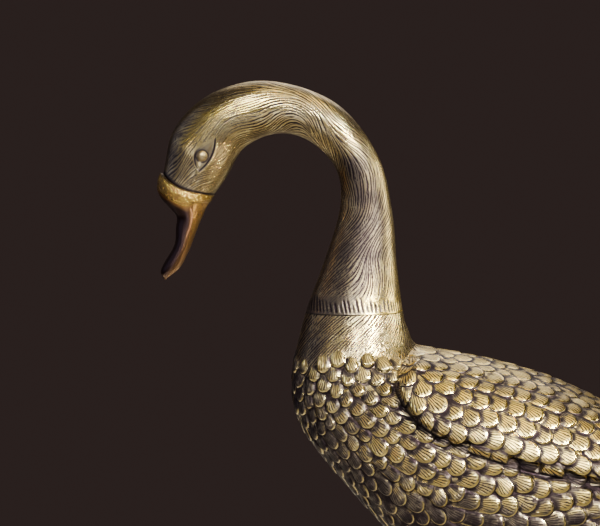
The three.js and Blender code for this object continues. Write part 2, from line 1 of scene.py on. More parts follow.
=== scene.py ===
"""The looks of a goose cast in brass: engraved plumage, dark staining with painted shade and highlights,
floor, light and camera.

Lengths are millimetres until a mesh is made, and metres after that. The goose faces -X, its left is -Y.
"""
import math

import bmesh
import bpy
import numpy as np
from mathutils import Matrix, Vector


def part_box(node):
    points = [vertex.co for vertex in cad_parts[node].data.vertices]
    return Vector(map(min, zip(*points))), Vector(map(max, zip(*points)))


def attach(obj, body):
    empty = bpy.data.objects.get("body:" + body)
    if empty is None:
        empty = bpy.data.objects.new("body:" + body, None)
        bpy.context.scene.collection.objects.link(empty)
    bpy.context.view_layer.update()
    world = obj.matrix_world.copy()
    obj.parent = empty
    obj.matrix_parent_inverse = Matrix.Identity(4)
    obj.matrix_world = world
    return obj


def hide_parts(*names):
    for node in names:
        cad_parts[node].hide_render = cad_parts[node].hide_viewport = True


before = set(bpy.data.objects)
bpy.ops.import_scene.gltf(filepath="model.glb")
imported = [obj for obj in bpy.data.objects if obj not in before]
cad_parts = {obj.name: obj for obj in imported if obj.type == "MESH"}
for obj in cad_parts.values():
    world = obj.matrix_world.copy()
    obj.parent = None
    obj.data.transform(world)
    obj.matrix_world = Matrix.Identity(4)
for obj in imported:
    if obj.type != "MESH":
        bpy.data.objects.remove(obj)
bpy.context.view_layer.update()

# Sizes of the castings, as in the solids
SEAM_GAP = 0.3
SEAM_LINE = 0.12  # what the solder leaves open of a seam
LEG_HEIGHT = 41
COLLAR_RISE = 154
COLLAR_HEIGHT = LEG_HEIGHT + COLLAR_RISE
BODY_LENGTH = 250
BODY_DEPTH = 122
BODY_WIDTH = 108
TAIL_ROOT_DEPTH = 21.5
TAIL_ROOT_WIDTH = 38
COLLAR_DEPTH = 49.7
COLLAR_WIDTH = 45
COLLAR_LINE = 2.5
NECK_RISE = 102.5
NECK_REACH = 81.5
NECK_DEPTH = 25.6
NECK_WIDTH = 24
HEAD_DEPTH = 36
HEAD_WIDTH = 26.5
BILL_LENGTH = 48.5
BILL_DEPTH = 27.5
BILL_WIDTH = 23
BILL_LEAN = -76
CUFF = 1.4
BILL_SAG = 2.8
MOUTH_LINE = 0.1
MOUTH_HEIGHT = -0.45
EYE_RADIUS = 2.7
EYE_BULGE = 1.7
EYE_SEAT = 1.2
EYE_ANGLE = math.radians(95.5)
WING_THICKNESS = 6.5
WING_SEAT_GAP = 0.5
TAIL_LENGTH = 46
TAIL_WIDTH = 54
TAIL_EDGE = 4
TAIL_DROP = 14
LEG_SPACING = 50
LEG_SETBACK = 84
TOE_SPREAD = 25
FOOT_TURN = 8

# The solids are centred over the origin, and the left stud stands on the line of the legs.
stud_low, stud_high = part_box("leg_stud_left")
X_SHIFT = 500 * (stud_low.x + stud_high.x) - LEG_SETBACK


def ramp(start, end, value):
    """A soft ramp from 0 at the start to 1 at the end, which may be the lower one."""
    share = np.clip((value - start) / (end - start), 0, 1)
    return share * share * (3 - 2 * share)


def bell(value, width):
    return np.exp(-((value / width) ** 2))


def unit(vectors):
    return vectors / np.maximum(np.linalg.norm(vectors, axis=-1, keepdims=True), 1e-9)


def steps(points, axis):
    """Distance from the first row of a grid down each column, or with axis 1 from the first column."""
    step = np.cumsum(np.linalg.norm(np.diff(points, axis=axis), axis=-1), axis=axis)
    return np.concatenate([0 * step.take([0], axis), step], axis=axis)


def wander(a, b, size, seed):
    """Soft random hills between about -1 and 1, a given size across."""
    rng = np.random.default_rng(seed)
    total = np.zeros(np.broadcast(a, b).shape)
    waves = 8
    for turn, start, stretch in rng.uniform(0, 1, (waves, 3)):
        heading = 2 * math.pi * turn
        wavelength = size * (1.2 + 1.2 * stretch)
        run = (a * math.cos(heading) + b * math.sin(heading)) / wavelength
        total += np.sin(2 * math.pi * (run + start))
    return total / math.sqrt(2 * waves)


# Sections through the goose
class Loft:
    """A smooth skin through sections. u counts them, and angles run from the top down its left side."""

    def __init__(self, stations):
        rows = []
        for x, z, lean, depth, width in stations:
            up_x = math.sin(math.radians(lean)) * depth / 2
            up_z = math.cos(math.radians(lean)) * depth / 2
            rows.append((x + up_x, z + up_z, x - up_x, z - up_z, width))
        self.rows = np.array(rows)
        self.last = len(rows) - 1
        self.knots = steps((self.rows[:, :2] + self.rows[:, 2:4]) / 2, 0)
        before = np.maximum(np.arange(len(rows)) - 1, 0)
        after = np.minimum(np.arange(len(rows)) + 1, self.last)
        spans = self.knots[after] - self.knots[before]
        self.slopes = (self.rows[after] - self.rows[before]) / spans[:, None]

    def section(self, u):
        """Middle and top direction in X and Z, half depth and half width, at each u."""
        u = np.asarray(u, float)
        i = np.clip(np.floor(u).astype(int), 0, self.last - 1)
        f = (u - i)[..., None]
        span = (self.knots[i + 1] - self.knots[i])[..., None]
        ease = f * f * (3 - 2 * f)
        leave = f * (1 - f) ** 2 * span * self.slopes[i]
        arrive = f * f * (f - 1) * span * self.slopes[i + 1]
        value = self.rows[i] * (1 - ease) + self.rows[i + 1] * ease + leave + arrive
        top, bottom = value[..., 0:2], value[..., 2:4]
        half_depth = np.linalg.norm(top - bottom, axis=-1) / 2
        up = (top - bottom) / (2 * half_depth[..., None])
        return (top + bottom) / 2, up, half_depth, value[..., 4] / 2

    def points(self, u, angle, grow=0.0):
        u, angle, grow = np.broadcast_arrays(u, angle, grow)
        middle, up, half_depth, half_width = self.section(u)
        flat = middle + up * ((half_depth + grow) * np.cos(angle))[..., None]
        y = -(half_width + grow) * np.sin(angle)
        return np.stack([flat[..., 0], y, flat[..., 1]], axis=-1)

    def core(self, u):
        middle = self.section(u)[0]
        return np.stack([middle[..., 0], np.zeros(middle.shape[:-1]), middle[..., 1]], axis=-1)

    def grid(self, u, angle, grow=0.0):
        """Points, their outward directions, and whether the faces between them need a flip."""
        points = self.points(u, angle, grow)
        return (points,) + outward(points, self.core(u))

    def along(self, u, distance):
        """u moved by a distance, where u is a whole number."""
        step = 1 if np.max(distance) > 0 and u < self.last else -1
        return u + distance / abs(self.knots[u + step] - self.knots[u])


def body_station(along, rise, lean, depth, width):
    height = LEG_HEIGHT + rise * COLLAR_RISE
    return (along * BODY_LENGTH, height, lean, depth * BODY_DEPTH, width * BODY_WIDTH)


def neck_station(reach, rise, lean, depth, width):
    return (-reach * NECK_REACH, COLLAR_HEIGHT + rise * NECK_RISE, lean, depth, width)


tail_root = (0.874 * BODY_LENGTH, LEG_HEIGHT + 0.245 * COLLAR_RISE, 0, TAIL_ROOT_DEPTH, TAIL_ROOT_WIDTH)
goose = Loft([
    tail_root,
    body_station(0.726, 0.282, 4, 0.5, 0.68),
    body_station(0.559, 0.334, 4, 0.82, 0.93),
    body_station(0.399, 0.3945, 4, 1, 1),
    body_station(0.249, 0.479, 6, 0.968, 0.97),
    body_station(0.133, 0.581, 14, 0.8, 0.87),
    body_station(0.055, 0.688, 31.5, 0.635, 0.75),
    body_station(0.009, 0.774, 50, 0.58, 0.63),
    body_station(-0.008, 0.862, 64, 0.535, 0.52),
    neck_station(0, 0, 88, COLLAR_DEPTH, COLLAR_WIDTH),
    neck_station(-0.036, 0.244, 90, 1.45 * NECK_DEPTH, 1.38 * NECK_WIDTH),
    neck_station(-0.075, 0.52, 95.5, 1.02 * NECK_DEPTH, NECK_WIDTH),
    neck_station(-0.015, 0.7575, 72, 0.855 * NECK_DEPTH, 0.94 * NECK_WIDTH),
    neck_station(0.2, 0.951, 36.5, 0.9 * NECK_DEPTH, 0.95 * NECK_WIDTH),
    neck_station(0.503, 1.0185, -6.5, 0.736 * HEAD_DEPTH, 0.91 * HEAD_WIDTH),
    neck_station(0.7725, 0.953, -30.5, 0.878 * HEAD_DEPTH, 0.99 * HEAD_WIDTH),
    neck_station(0.939, 0.798, -48, 0.978 * HEAD_DEPTH, HEAD_WIDTH),
    neck_station(1.011, 0.647, -67, BILL_DEPTH, 0.83 * HEAD_WIDTH),
])
COLLAR = 9
EYES = 16
BILL_SEAM = 17


def seam_dip(angle):
    """How far the seam of the bill runs forward, down the sides of the head."""
    return BILL_SAG * np.sin(angle) ** 2


# Grids of points
def even_rows(loft, first, last, angle, pitch):
    """Values of u from first to last, spaced on the skin by a pitch that depends on u."""
    fine = np.linspace(first, last, 4000)
    length = steps(loft.points(fine, angle), 0)
    gaps = np.diff(length) / pitch((fine[1:] + fine[:-1]) / 2)
    count = np.concatenate([[0], np.cumsum(gaps)])
    return np.interp(np.linspace(0, count[-1], int(round(count[-1])) + 1), count, fine)


def crowded_angles(low, high, count):
    """Angles from the top to the bottom, twice as close between two angles in degrees."""
    fine = np.linspace(0, math.pi, 2000)
    degrees = np.degrees(fine)
    density = 1 + ramp(low - 20, low, degrees) * ramp(high + 15, high, degrees)
    reach = np.concatenate([[0], np.cumsum(density[1:])])
    return np.interp(np.linspace(0, reach[-1], count), reach, fine)[None, :]


def outward(points, core):
    """Unit directions square to a grid, away from its core, and whether its faces need a flip."""
    normal = unit(np.cross(np.gradient(points, axis=0), np.gradient(points, axis=1)))
    flip = np.sum(normal * (points - core)) < 0
    return (-normal if flip else normal), flip


def padded(grid, before=1, after=1, sides=1):
    """A grid with its first and last rows and columns repeated."""
    edges = [(before, after), (sides, sides)] + [(0, 0)] * (grid.ndim - 2)
    return np.pad(grid, edges, mode="edge")


def all_padded(grids, *sizes):
    return {name: padded(grid, *sizes) for name, grid in grids.items()}


def border(shape):
    """1 on the points that padding adds all round a grid, and 0 inside."""
    return np.pad(np.zeros(shape), 1, constant_values=1)


HEM = 2.5  # how far the edges of the hollow castings turn in


def hemmed(points, normals):
    """A grid with one more row of points all round, turned in."""
    return padded(points) - padded(normals) * (border(points.shape[:2]) * HEM)[..., None]


def grid_faces(points, flip):
    rows, columns = points.shape[:2]
    corner = (np.arange(rows - 1)[:, None] * columns + np.arange(columns - 1)).ravel()
    quads = np.stack([corner, corner + columns, corner + columns + 1, corner + 1], axis=1)
    return quads[:, ::-1] if flip else quads


# Combed strands
def sampled(grid, row, column):
    """Values between the points of a grid."""
    rows, columns = grid.shape
    row = np.clip(row, 0, rows - 1.001)
    column = np.clip(column, 0, columns - 1.001)
    i, j = row.astype(int), column.astype(int)
    f, g = row - i, column - j
    upper = grid[i, j] * (1 - g) + grid[i, j + 1] * g
    lower = grid[i + 1, j] * (1 - g) + grid[i + 1, j + 1] * g
    return upper * (1 - f) + lower * f


def blurred(grid, reach):
    """Means over squares of points, a reach to every side."""
    for _ in range(2):
        sums = np.cumsum(np.pad(grid, ((reach + 1, reach), (0, 0)), mode="edge"), axis=0)
        grid = ((sums[2 * reach + 1:] - sums[:-2 * reach - 1]) / (2 * reach + 1)).T
    return grid


def strands(points, around, degrees, pitch, length, seed):
    """Heights of about -2 to 2 for strands combed on a grid, turned by degrees from the lines along it.

    Grain with one pitch across the grid is drawn out along the strands, by its mean over their length.
    """
    along = np.broadcast_to(steps(points, 0).mean(axis=1, keepdims=True), around.shape)
    row_step = np.gradient(along, axis=0)
    column_step = np.gradient(around, axis=1)
    slope = np.tan(np.radians(np.clip(degrees, -40, 40)))
    heading = np.arctan(slope + np.gradient(around, axis=0) / row_step)
    grain = np.random.default_rng(seed).normal(size=around.shape)
    waves = np.fft.rfftfreq(around.shape[1]) / column_step.mean(axis=1, keepdims=True)
    pitch = np.broadcast_to(pitch, around.shape)[:, :1]
    grain = np.fft.irfft(np.fft.rfft(grain) * bell(waves * pitch - 1, 0.4), around.shape[1])
    total = grain.copy()
    last_row, last_column = np.array(around.shape) - 1
    step = 0.4
    for way in (-step, step):
        row, column = np.indices(around.shape).astype(float)
        for _ in range(int(length / step / 2)):
            turn = sampled(heading, row, column)
            row += way * np.cos(turn) / sampled(row_step, row, column)
            column += way * np.sin(turn) / sampled(column_step, row, column)
            on_grid = (row >= 0) & (row <= last_row) & (column >= 0) & (column <= last_column)
            total += on_grid * sampled(grain, row, column)
    return total / np.sqrt(blurred(total * total, 16))


# Overlapping feathers
FAR = 20  # for any longer distance to the rim of a feather


class Plumage:
    """Feathers laid one by one over a skin, each over the roots of those that come after it.

    lie holds the directions in which they point, and order grows along it. Width and pitch are the sizes
    of the feathers, across and along. Wild ones lie less evenly, and puffed ones are rounder.
    """

    def __init__(self, points, normals, lie, order, allowed, width, pitch, wild, seed, puff=0.55):
        self.points = points.reshape(-1, 3)
        self.shape = order.shape
        self.puff = puff
        rng = np.random.default_rng(seed)

        # Every fourth point can hold a feather. One that fits between two others is laid sooner.
        few = np.arange(0, order.size, 4)
        places = self.points[few]
        lie = lie.reshape(-1, 3)[few]
        aside = np.cross(normals.reshape(-1, 3)[few], lie)
        width, pitch = [np.broadcast_to(size, order.shape).ravel()[few] for size in (width, pitch)]
        rank = np.where(allowed, order, np.inf).ravel()[few] + wild * rng.uniform(-1, 1, len(few))
        snug = np.zeros(len(few))
        chosen = []
        while np.isfinite(rank).any():
            at = int(np.argmin(rank - 0.35 * pitch * np.minimum(snug, 2)))
            offset = places - places[at]
            ahead = offset @ lie[at] / (1.155 * pitch[at])
            beside = offset @ aside[at] / width[at]
            near = ahead ** 2 + beside ** 2
            rank[near < 1] = np.inf
            snug += near < 1.4
            chosen.append(at)
        count = len(chosen)
        twist = wild * rng.normal(0, math.radians(11), (count, 1))
        self.centre = places[chosen]
        self.lie = lie[chosen] * np.cos(twist) + aside[chosen] * np.sin(twist)
        self.aside = aside[chosen] * np.cos(twist) - lie[chosen] * np.sin(twist)
        vary = wild * rng.uniform(-1, 1, (3, count))
        self.half = width[chosen] * (0.55 + 0.08 * vary[0])
        self.stretch = 1.02 + 0.14 * vary[1]
        self.lift = 1 + 0.3 * vary[2]
        self.root = 1.7 * pitch[chosen]
        self.tone = rng.uniform(0.15, 1, count)

    def measure(self, feather, places):
        """Across and along a feather, and the distance inside its outline."""
        offset = places - self.centre[feather]
        x = offset @ self.aside[feather]
        y = offset @ self.lie[feather]
        edge = self.half[feather] - np.hypot(x, np.maximum(y, 0) / self.stretch[feather])
        return x, y, np.minimum(edge, y + self.root[feather])

    def last_to_first(self, places):
        """Each feather, from the lowest to the topmost, and the places near it."""
        for feather in reversed(range(len(self.centre))):
            reach = self.root[feather] + self.half[feather] + 3
            yield feather, np.flatnonzero(np.abs(places - self.centre[feather]).max(axis=1) < reach)

    def heights(self):
        """How high the feathers stand on their skin, up to about 1, and how much of it they cover."""
        total = np.zeros(len(self.points))
        cover = np.zeros(len(self.points))
        for feather, near in self.last_to_first(self.points):
            x, y, edge = self.measure(feather, self.points[near])
            half = self.half[feather]
            rise = ramp(-0.75 * self.root[feather], 0.8 * half, y)
            round_off = self.puff * ramp(0.5 * half, -0.4, edge)
            form = (0.1 + 0.9 * rise) * (1 - round_off) - 0.36 * self.puff * (x / half) ** 2
            over = ramp(-0.4, 0.4, edge)
            total[near] += over * (form * self.lift[feather] - total[near])
            top = np.hypot(x, 0.85 * np.minimum(y, 0))
            cover[near] = np.maximum(cover[near], over * ramp(1.2 * half, 0.6 * half, top))
        return total.reshape(self.shape), cover.reshape(self.shape)

    def corners(self, places, faces):
        """Measures and tones at the corners of faces, each face on the feather that covers its middle."""
        at = places.reshape(-1, 3)[faces]
        middle = at.mean(axis=1)
        shown = np.zeros(faces.shape + (4,))
        shown[..., 2:] = FAR
        tones = np.zeros(faces.shape)
        for feather, near in self.last_to_first(middle):
            inside = self.measure(feather, middle[near])[2] > 0
            x, y, edge = self.measure(feather, at[near])
            beyond = near[~inside]
            shown[beyond, :, 3] = np.minimum(shown[beyond, :, 3], -edge[~inside])
            from_root = y + 1.3 * self.half[feather]
            measures = np.stack([x, from_root, edge, np.full(x.shape, FAR)], axis=-1)
            shown[near[inside]] = measures[inside]
            tones[near[inside]] = self.tone[feather]
        shown[..., 2:] = np.clip(shown[..., 2:], 0, FAR)
        return shown, tones


def directions(points):
    """Unit directions along the columns of a grid."""
    return unit(np.gradient(points, axis=0))


# Materials
class Nodes:
    """Builds the nodes of a material, a line of maths at a time."""

    def __init__(self, name):
        self.material = bpy.data.materials.new(name)
        self.material.use_nodes = True
        self.tree = self.material.node_tree
        self.shader = self.tree.nodes["Principled BSDF"]

    def put(self, socket, value):
        if isinstance(value, bpy.types.NodeSocket):
            self.tree.links.new(value, socket)
        else:
            socket.default_value = value

    def add(self, kind, inputs=None, **settings):
        node = self.tree.nodes.new(kind)
        for key, value in settings.items():
            setattr(node, key, value)
        for key, value in (inputs or {}).items():
            self.put(node.inputs[key], value)
        return node

    def math(self, operation, *values):
        return self.add("ShaderNodeMath", dict(enumerate(values)), operation=operation).outputs[0]

    def times(self, first, second):
        return self.math("MULTIPLY", first, second)

    def plus(self, first, second):
        return self.math("ADD", first, second)

    def minus(self, first, second):
        return self.math("SUBTRACT", first, second)

    def most(self, first, second):
        return self.math("MAXIMUM", first, second)

    def mapped(self, kind, *values):
        return self.add("ShaderNodeMapRange", dict(enumerate(values)), interpolation_type=kind).outputs[0]

    def ramp(self, start, end, value):
        return self.mapped("SMOOTHSTEP", value, start, end, 0.0, 1.0)

    def range(self, value, low, high):
        return self.mapped("LINEAR", value, 0.0, 1.0, low, high)

    def mix(self, share, first, second):
        """A mix of two colours, for which this node has the inputs 6 and 7 and the output 2."""
        return self.add("ShaderNodeMix", {0: share, 6: first, 7: second}, data_type="RGBA").outputs[2]

    def noise(self, size, detail, stretch=(1, 1, 1)):
        """Noise with grains of a size in millimetres."""
        place = self.add("ShaderNodeTexCoord").outputs["Object"]
        mapping = self.add("ShaderNodeMapping", {"Vector": place, "Scale": stretch})
        inputs = {"Vector": mapping.outputs[0], "Scale": 1000 / size, "Detail": detail}
        return self.add("ShaderNodeTexNoise", inputs).outputs["Fac"]

    def attribute(self, name):
        return self.add("ShaderNodeAttribute", attribute_name=name)

    def number(self, name):
        return self.attribute(name).outputs["Fac"]

    def metal(self, colour, roughness):
        self.put(self.shader.inputs["Base Color"], colour)
        self.put(self.shader.inputs["Roughness"], roughness)
        self.shader.inputs["Metallic"].default_value = 1.0

    def bump(self, height, millimetres):
        node = self.add("ShaderNodeBump", {"Height": height, "Distance": millimetres / 1000})
        self.put(self.shader.inputs["Normal"], node.outputs[0])


# The darkest colour is patina, and also painted shade.
PATINA_AND_SHADE = (0.026, 0.017, 0.022, 1)
UMBER = (0.146, 0.118, 0.10, 1)
BRASS = (0.66, 0.49, 0.21, 1)
PALE_BRASS = (0.88, 0.735, 0.39, 1)
GOLD = (0.92, 0.61, 0.135, 1)
GILT = (0.84, 0.60, 0.10, 1)
AMBER = (0.54, 0.285, 0.11, 1)
DARK_AMBER = (0.45, 0.25, 0.12, 1)
# a painted dark reflection on the top of the bill
DARK_REFLECTION = (0.062, 0.037, 0.043, 1)

FAN_PIVOT = 6.0  # millimetres from the root of a feather to where its barbs would meet
BARBS = 64.0  # how close they lie
BARB_WOBBLE = 5.0


def engraved_brass():
    """Worn brass, stained dark in its grooves, with engraved barbs on its feathers, and painted shade and
    highlights.
    """
    n = Nodes("engraved_brass")
    feather = n.attribute("feather")
    across, along, rim = n.add("ShaderNodeSeparateXYZ", {0: feather.outputs["Vector"]}).outputs
    past = feather.outputs["Alpha"]
    tone = n.number("tone")
    feathered = n.ramp(0.0, 0.1, tone)

    # Barbs fan out from the root of a feather and fade towards its rim.
    fan = n.math("ARCTAN2", across, n.plus(along, FAN_PIVOT))
    wobble = n.noise(3.0, 1.0)
    comb = n.math("SINE", n.plus(n.times(fan, BARBS), n.times(wobble, BARB_WOBBLE)))
    cut = n.ramp(-0.1, 0.7, comb)
    broken = n.ramp(0.24, 0.38, n.noise(2.0, 2.0))
    inside = n.times(n.ramp(0.7, 2.2, rim), n.ramp(-1.5, 2.0, along))
    barbs = n.times(n.times(cut, inside), n.times(broken, feathered))

    # A dark line follows the rim of a feather, and painted shade lies where it comes out from below
    # others.
    edge = n.times(n.ramp(0.5, 0.15, rim), 0.75)
    crisp = n.ramp(0.7, 0.1, past)
    spread = n.ramp(n.range(tone, 1.4, 4.6), 0.2, past)
    blotch = n.ramp(0.32, 0.58, n.noise(4.0, 3.0))
    under_shade = n.most(n.times(crisp, 0.95), n.times(spread, blotch))
    seam = n.times(n.most(edge, under_shade), feathered)
    # Lower down the body the insides of the feathers are darker.
    belly_darkening = n.times(n.number("belly_darkening"), n.ramp(0.3, 1.4, rim))
    belly_darkening = n.times(belly_darkening, n.range(blotch, 0.55, 1.0))
    grime = n.times(n.ramp(0.42, 0.75, n.noise(14.0, 4.0)), 0.25)
    lines = n.most(n.times(barbs, 0.9), seam)
    lines = n.most(lines, n.most(n.number("groove_and_shade"), belly_darkening))
    # The shade values add painted shade; negative ones lighten the metal, for painted highlights and wear.
    lines = n.plus(lines, n.number("shade"))
    stain_and_shade = n.math("MINIMUM", n.plus(lines, grime), 1.0)

    # Wear polishes the tips of the feathers. The rest of them is duller than the combed metal.
    polish = n.times(n.ramp(1.7, 0.8, rim), feathered)
    pale = n.most(n.ramp(0.4, 0.75, n.noise(6.0, 3.0)), polish)
    warm = n.mix(pale, BRASS, PALE_BRASS)
    warm = n.mix(n.number("gilt_and_highlight"), warm, GILT)
    half_dark = n.mix(n.ramp(0.0, 0.55, stain_and_shade), warm, UMBER)
    colour = n.mix(n.ramp(0.4, 1.0, stain_and_shade), half_dark, PATINA_AND_SHADE)
    speckle = n.noise(0.9, 2.0)
    rough = n.plus(n.range(stain_and_shade, 0.18, 0.52), n.times(speckle, 0.10))
    rough = n.plus(rough, n.times(feathered, 0.08))
    n.metal(colour, n.minus(rough, n.times(polish, 0.14)))
    grit = n.times(speckle, n.range(feathered, 0.09, 0.05))
    n.bump(n.minus(grit, n.times(barbs, 0.8)), 0.16)
    return n.material


def bill_brass():
    """Smooth amber-stained brass, with a stippled, worn root and a painted dark reflection along its top.
    """
    n = Nodes("amber_bill_brass")
    groove_and_shade = n.number("groove_and_shade")
    root = n.number("root")
    stipple = n.noise(1.1, 2.0)
    clouds = n.ramp(0.4, 0.72, n.noise(7.0, 4.0))
    base = n.mix(clouds, AMBER, DARK_AMBER)
    base = n.mix(n.number("dark_reflection"), base, DARK_REFLECTION)
    worn = n.times(root, n.ramp(0.36, 0.54, stipple))
    bright = n.mix(worn, base, GOLD)
    rough = n.minus(n.range(groove_and_shade, 0.36, 0.5), n.times(root, 0.15))
    n.metal(n.mix(groove_and_shade, bright, PATINA_AND_SHADE), rough)
    n.bump(n.times(stipple, root), 0.9)
    return n.material


def worn_metal(name, bright, dark, rough):
    """Plain metal with faint clouds of staining and fine scratches."""
    n = Nodes(name)
    clouds = n.ramp(0.4, 0.7, n.noise(3.0, 4.0))
    scratches = n.noise(0.8, 3.0, stretch=(1, 1, 0.15))
    n.metal(n.mix(clouds, bright, dark), n.range(scratches, rough, rough + 0.2))
    n.bump(scratches, 0.05)
    return n.material


ENGRAVED = engraved_brass()
BILL = bill_brass()
EYE = worn_metal("eye_brass", (0.62, 0.47, 0.25, 1), (0.34, 0.24, 0.12, 1), 0.26)
PLAIN = worn_metal("plain_brass", (0.70, 0.53, 0.28, 1), (0.45, 0.32, 0.16, 1), 0.34)
STEEL = worn_metal("steel", (0.56, 0.57, 0.58, 1), (0.36, 0.36, 0.36, 1), 0.3)


# Meshes
def add_object(name, data):
    thing = bpy.data.objects.new(name, data)
    bpy.context.scene.collection.objects.link(thing)
    return thing


def set_numbers(mesh, name, kind, domain, field, numbers):
    layer = mesh.attributes.new(name, kind, domain)
    layer.data.foreach_set(field, numbers.astype(np.float32).ravel())


def mesh_object(name, points, faces, values, corner_sets=None, material=ENGRAVED):
    """A smooth mesh of points in millimetres, with named numbers at its points and corners."""
    mesh = bpy.data.meshes.new(name)
    placed = (points.reshape(-1, 3) + (X_SHIFT, 0, 0)) / 1000
    mesh.from_pydata(placed.tolist(), [], faces.tolist())
    for key, numbers in values.items():
        set_numbers(mesh, key, "FLOAT", "POINT", "value", numbers)
    if corner_sets:
        measures, tones = corner_sets
        set_numbers(mesh, "feather", "FLOAT_COLOR", "CORNER", "color", measures)
        set_numbers(mesh, "tone", "FLOAT", "CORNER", "value", tones)
    mesh.shade_smooth()
    mesh.materials.append(material)
    return add_object(name, mesh)


def declare(piece, node):
    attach(piece, "root")
    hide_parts(node)


MIRROR = (1, -1, 1)


def add_pair(name, node, points, faces, values, corner_sets=None, material=ENGRAVED):
    """A piece of the left side and its mirror image on the right. Names have {} for the side."""
    for side, mirror, turn in (("left", (1, 1, 1), 1), ("right", MIRROR, -1)):
        sets = corner_sets and [numbers[:, ::turn] for numbers in corner_sets]
        piece = mesh_object(name.format(side), points * mirror, faces[:, ::turn], values, sets, material)
        declare(piece, node.format(side))


def add_whole(name, node, points, faces, values, corner_sets=None, material=ENGRAVED):
    """One piece from its left half, mirrored and joined along the middle plane."""
    flat = points.reshape(-1, 3)
    both = np.concatenate([flat, flat * MIRROR])
    all_faces = np.concatenate([faces, faces[:, ::-1] + len(flat)])
    doubled = {key: np.tile(numbers.ravel(), 2) for key, numbers in values.items()}
    sets = corner_sets and [np.concatenate([numbers, numbers[:, ::-1]]) for numbers in corner_sets]
    piece = mesh_object(name, both, all_faces, doubled, sets, material)
    joined = bmesh.new()
    joined.from_mesh(piece.data)
    bmesh.ops.remove_doubles(joined, verts=joined.verts, dist=2e-6)
    joined.to_mesh(piece.data)
    joined.free()
    declare(piece, node)


# Body: combed below the collar, then feathered
BODY_COLUMNS = 240
BODY_CENTRE = (0, 0, COLLAR_HEIGHT + 40)  # the feathers of the body are laid outwards from here
COMBED_BAND = 67  # distance from there to the first of them
BODY_RELIEF = 1.9


def body_pitch(u):
    return np.where(u > COLLAR - 0.9, 0.38, 0.7 + 0.9 * ramp(2.8, 2.4, u))


def add_body():
    collar_end = goose.along(COLLAR, COLLAR_LINE - SEAM_LINE / 2)
    us = even_rows(goose, collar_end, 0, math.radians(110), body_pitch)[:, None]
    angles = crowded_angles(40, 150, BODY_COLUMNS)
    points, normals, flip = goose.grid(us, angles)
    along = steps(points, 0)
    around = steps(points, 1)
    girth = around[:, -1:]
    distance = np.linalg.norm(points - BODY_CENTRE, axis=-1)
    below_band = distance - COMBED_BAND - 4.5 * wander(0, around, 9, 3)
    rear = ramp(7.6, 4.0, us)
    width = 7.2 + 2.0 * rear
    pitch = 5.9 + 1.5 * rear
    plumage = Plumage(points, normals, directions(points), distance, below_band > 1.5, width, pitch,
                      wild=1.0, seed=11)
    relief, feathered = plumage.heights()
    feathered = np.maximum(feathered, ramp(4, 8, below_band))
    lumps = 0.45 * wander(along, around, 20, 7) * ramp(0, 8, below_band)

    # Short strokes are combed aslant from the collar down to the first feathers.
    combed = slice(0, int(np.argmax(along.min(axis=1) > 40)))
    degrees = np.degrees(angles)
    turn = 34 * (1 - 0.8 * ramp(60, 25, degrees)) + 14 * wander(along, around, 16, 9)
    cuts = np.zeros(along.shape)
    strokes = strands(points[combed], around[combed], turn[combed], pitch=2.1, length=9, seed=21)
    cuts[combed] = ramp(0, 1.2, strokes)
    cuts = cuts * (1 - feathered)

    # Painted shade is deepest in the hollow below the edge of the wing.
    wing_along = (us - WING_FRONT) / (WING_TIP - WING_FRONT)
    edge = np.radians(wing_edges(np.clip(wing_along, 0, 1))[1])
    below = (angles - edge) * girth / math.pi
    slant = np.gradient(edge[:, 0]) * girth[:, 0] / math.pi / np.gradient(along[:, BODY_COLUMNS // 2])
    below = below / np.sqrt(1 + slant[:, None] ** 2)
    groove_width = 4.5 - 1.4 * ramp(0.1, 0.4, wing_along)
    by_wing = ramp(-4.5, -1.5, below) * ramp(groove_width, 0.1 * groove_width, below)
    by_wing = by_wing * ramp(0.0, 0.07, wing_along)

    # Under the wing the body keeps clear of it. Towards the middle plane the feathers are flatter.
    hidden = ramp(-0.01, 0.01, wing_along) * ramp(-4, -8, below) * (angles > math.radians(23))
    flat = (0.3 + 0.7 * ramp(20, 52, degrees)) * (0.3 + 0.7 * ramp(178, 160, degrees))
    height = flat * (BODY_RELIEF * relief * feathered - 0.8 * ramp(0, 14, below_band) + lumps)
    height -= 0.2 * cuts + 0.8 * by_wing
    height = np.where(hidden > 0, np.minimum(height, -0.5 * hidden), height)
    skin = padded(points)
    points = points + normals * height[..., None]
    points[..., 1] = np.minimum(points[..., 1], -0.04)
    groove_and_shade = np.maximum(0.95 * cuts, 0.3 * bell(along, 0.35))
    # Painted shade below the wing and on the combed part towards its front; a painted highlight lightens
    # the first rows on the lit side.
    shade = (0.38 + 0.3 * ramp(0.25, 0.45, wing_along)) * by_wing
    shade = shade + 0.22 * (1 - feathered) * ramp(80, 140, degrees)
    shade = shade - 0.25 * feathered * ramp(22, 4, below_band) * ramp(115, 80, degrees)
    # Lower down the body the insides of the feathers are darker.
    lowness = degrees + 0.55 * (below_band - 55) + 14 * wander(along, around, 18, 61)
    belly_darkening = feathered * ramp(85, 135, lowness)

    points = hemmed(points, normals)
    faces = grid_faces(points, flip)
    measures, tones = plumage.corners(skin, faces)
    tones = tones * (padded(feathered).ravel()[faces] > 0.3)
    gilt_and_highlight = feathered * (0.25 + 0.25 * rear) + 0.15 * (1 - feathered)
    values = all_padded({"groove_and_shade": groove_and_shade, "shade": shade, "belly_darkening": 0.85 * belly_darkening, "gilt_and_highlight": gilt_and_highlight})
    add_pair("body_{}_casting", "body_{}_half", points, faces, values, (measures, tones))


# Wings
WING_ROWS = 440
WING_COLUMNS = 176
WING_FRONT = COLLAR - 2.3
WING_TIP = 0.3
WING_RELIEF = 1.6
WING_BURIED = 0.6
WING_SKIRT = 2.6  # degrees by which the tips of the lowest feathers hang past the solid, at its front


